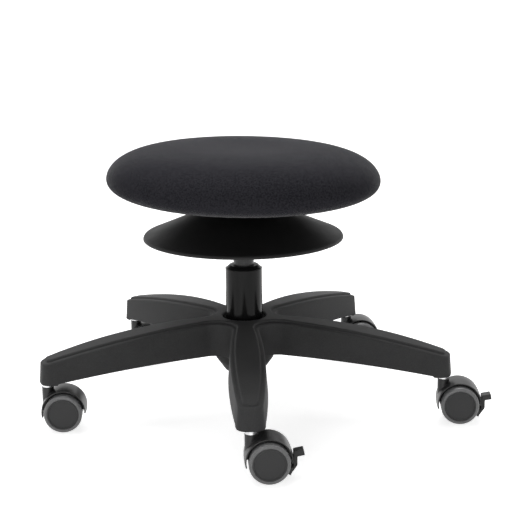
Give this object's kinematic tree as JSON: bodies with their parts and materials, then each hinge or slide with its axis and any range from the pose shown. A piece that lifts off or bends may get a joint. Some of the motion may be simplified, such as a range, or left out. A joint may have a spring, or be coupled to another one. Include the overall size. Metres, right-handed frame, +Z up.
{
  "type": "rolling stool",
  "caption": "Low round padded stool on a gas column with an all-round release dish, a moulded star base and hooded twin-wheel castors, some with foot brakes.",
  "frame": {"origin": "on the floor, under the column axis", "axes": "+Z up; -Y is the front, where the first braked castor is; +X to the right seen from the front"},
  "size_m": [0.5979, 0.5585, 0.3575],
  "materials": {
    "base_nylon": "satin",
    "hub_steel": "satin",
    "column_paint": "gloss",
    "bush_plastic": "satin",
    "cylinder_paint": "satin",
    "rod_chrome": "polished",
    "bearing_steel": "polished",
    "black_rubber": "matte",
    "mount_paint": "satin",
    "dish_plastic": "satin",
    "zinc_steel": "satin",
    "black_steel": "satin",
    "plywood": "matte",
    "foam": "matte",
    "seat_fabric": "matte",
    "dust_fabric": "matte",
    "castor_plastic": "satin",
    "wheel_plastic": "satin",
    "tread_rubber": "matte",
    "lever_plastic": "satin"
  },
  "bodies": {
    "base": {"base_star": "base_nylon", "hub_ring": "hub_steel", "column_tube": "column_paint", "guide_bush": "bush_plastic", "lower_race": "bearing_steel", "bearing_balls": "bearing_steel", "castor_stems": "zinc_steel", "grip_rings": "zinc_steel"},
    "spindle": {"piston_rod": "rod_chrome", "upper_race": "bearing_steel", "retaining_clip": "bearing_steel", "bump_stop": "black_rubber"},
    "seat": {"gas_cylinder": "cylinder_paint", "rod_seal": "black_rubber", "seat_mount": "mount_paint", "seat_board": "plywood", "seat_nuts": "zinc_steel", "seat_screws": "zinc_steel", "seat_foam": "foam", "seat_cover": "seat_fabric", "dust_cover": "dust_fabric"},
    "dish": {"release_dish": "dish_plastic", "release_spider": "mount_paint", "dish_screws": "zinc_steel"},
    "valve_pin": {"release_pin": "bearing_steel"},
    "castor_1": {"castor_1_housing": "castor_plastic", "castor_1_axle": "zinc_steel", "castor_1_brake_pin": "black_steel"},
    "castor_1_near_roller": {"castor_1_near_wheel": "wheel_plastic", "castor_1_near_tread": "tread_rubber"},
    "castor_1_far_roller": {"castor_1_far_wheel": "wheel_plastic", "castor_1_far_tread": "tread_rubber"},
    "castor_1_brake": {"castor_1_brake_lever": "lever_plastic"},
    "castor_2": {"castor_2_housing": "castor_plastic", "castor_2_axle": "zinc_steel", "castor_2_brake_pin": "black_steel"},
    "castor_2_near_roller": {"castor_2_near_wheel": "wheel_plastic", "castor_2_near_tread": "tread_rubber"},
    "castor_2_far_roller": {"castor_2_far_wheel": "wheel_plastic", "castor_2_far_tread": "tread_rubber"},
    "castor_2_brake": {"castor_2_brake_lever": "lever_plastic"},
    "castor_3": {"castor_3_housing": "castor_plastic", "castor_3_axle": "zinc_steel"},
    "castor_3_near_roller": {"castor_3_near_wheel": "wheel_plastic", "castor_3_near_tread": "tread_rubber"},
    "castor_3_far_roller": {"castor_3_far_wheel": "wheel_plastic", "castor_3_far_tread": "tread_rubber"},
    "castor_4": {"castor_4_housing": "castor_plastic", "castor_4_axle": "zinc_steel"},
    "castor_4_near_roller": {"castor_4_near_wheel": "wheel_plastic", "castor_4_near_tread": "tread_rubber"},
    "castor_4_far_roller": {"castor_4_far_wheel": "wheel_plastic", "castor_4_far_tread": "tread_rubber"},
    "castor_5": {"castor_5_housing": "castor_plastic", "castor_5_axle": "zinc_steel"},
    "castor_5_near_roller": {"castor_5_near_wheel": "wheel_plastic", "castor_5_near_tread": "tread_rubber"},
    "castor_5_far_roller": {"castor_5_far_wheel": "wheel_plastic", "castor_5_far_tread": "tread_rubber"}
  },
  "joints": [
    {"name": "seat_swivel", "type": "hinge", "parent": "base", "child": "spindle", "pos_m": [0, 0, 0.055], "axis": [0, 0, 1], "continuous": true},
    {"name": "seat_height", "type": "slide", "parent": "spindle", "child": "seat", "axis": [0, 0, 1], "range_m": [0, 0.06]},
    {"name": "dish_tilt", "type": "hinge", "parent": "seat", "child": "dish", "pos_m": [0, -0.016, 0.273], "axis": [-1, 0, 0], "range_deg": [0, 6], "stiffness_Nm_per_rad": 2, "springref_deg": -2.86},
    {"name": "valve_pin_slide", "type": "slide", "parent": "seat", "child": "valve_pin", "axis": [0, 0, 1], "range_m": [-0.002, 0]},
    {"name": "castor_1_swivel", "type": "hinge", "parent": "base", "child": "castor_1", "pos_m": [0.006, -0.27493, 0.06], "axis": [0, 0, 1], "continuous": true},
    {"name": "castor_1_near_roll", "type": "hinge", "parent": "castor_1", "child": "castor_1_near_roller", "pos_m": [0.02646, -0.27372, 0.025], "axis": [-0.0593, 0.9982, 0], "continuous": true},
    {"name": "castor_1_far_roll", "type": "hinge", "parent": "castor_1", "child": "castor_1_far_roller", "pos_m": [0.02646, -0.27372, 0.025], "axis": [-0.0593, 0.9982, 0], "continuous": true},
    {"name": "castor_1_brake_press", "type": "hinge", "parent": "castor_1", "child": "castor_1_brake", "pos_m": [0.05741, -0.27188, 0.016], "axis": [-0.0593, 0.9982, 0], "range_deg": [0, 12]},
    {"name": "castor_2_swivel", "type": "hinge", "parent": "base", "child": "castor_2", "pos_m": [0.26333, -0.07925, 0.06], "axis": [0, 0, 1], "continuous": true},
    {"name": "castor_2_near_roll", "type": "hinge", "parent": "castor_2", "child": "castor_2_near_roller", "pos_m": [0.2838, -0.0804, 0.025], "axis": [0.0558, 0.9984, 0], "continuous": true},
    {"name": "castor_2_far_roll", "type": "hinge", "parent": "castor_2", "child": "castor_2_far_roller", "pos_m": [0.2838, -0.0804, 0.025], "axis": [0.0558, 0.9984, 0], "continuous": true},
    {"name": "castor_2_brake_press", "type": "hinge", "parent": "castor_2", "child": "castor_2_brake", "pos_m": [0.31475, -0.08213, 0.016], "axis": [0.0558, 0.9984, 0], "range_deg": [0, 12]},
    {"name": "castor_3_swivel", "type": "hinge", "parent": "base", "child": "castor_3", "pos_m": [0.15675, 0.22595, 0.06], "axis": [0, 0, 1], "continuous": true},
    {"name": "castor_3_near_roll", "type": "hinge", "parent": "castor_3", "child": "castor_3_near_roller", "pos_m": [0.1772, 0.22738, 0.025], "axis": [-0.0698, 0.9976, 0], "continuous": true},
    {"name": "castor_3_far_roll", "type": "hinge", "parent": "castor_3", "child": "castor_3_far_roller", "pos_m": [0.1772, 0.22738, 0.025], "axis": [-0.0698, 0.9976, 0], "continuous": true},
    {"name": "castor_4_swivel", "type": "hinge", "parent": "base", "child": "castor_4", "pos_m": [-0.16646, 0.2189, 0.06], "axis": [0, 0, 1], "continuous": true},
    {"name": "castor_4_near_roll", "type": "hinge", "parent": "castor_4", "child": "castor_4_near_roller", "pos_m": [-0.14601, 0.21747, 0.025], "axis": [0.0698, 0.9976, 0], "continuous": true},
    {"name": "castor_4_far_roll", "type": "hinge", "parent": "castor_4", "child": "castor_4_far_roller", "pos_m": [-0.14601, 0.21747, 0.025], "axis": [0.0698, 0.9976, 0], "continuous": true},
    {"name": "castor_5_swivel", "type": "hinge", "parent": "base", "child": "castor_5", "pos_m": [-0.25962, -0.09066, 0.06], "axis": [0, 0, 1], "continuous": true},
    {"name": "castor_5_near_roll", "type": "hinge", "parent": "castor_5", "child": "castor_5_near_roller", "pos_m": [-0.23914, -0.08998, 0.025], "axis": [-0.0332, 0.9995, 0], "continuous": true},
    {"name": "castor_5_far_roll", "type": "hinge", "parent": "castor_5", "child": "castor_5_far_roller", "pos_m": [-0.23914, -0.08998, 0.025], "axis": [-0.0332, 0.9995, 0], "continuous": true}
  ],
  "couplings": [
    {"joint": "valve_pin_slide", "follows": "dish_tilt", "m_per_rad": -0.0185}
  ]
}
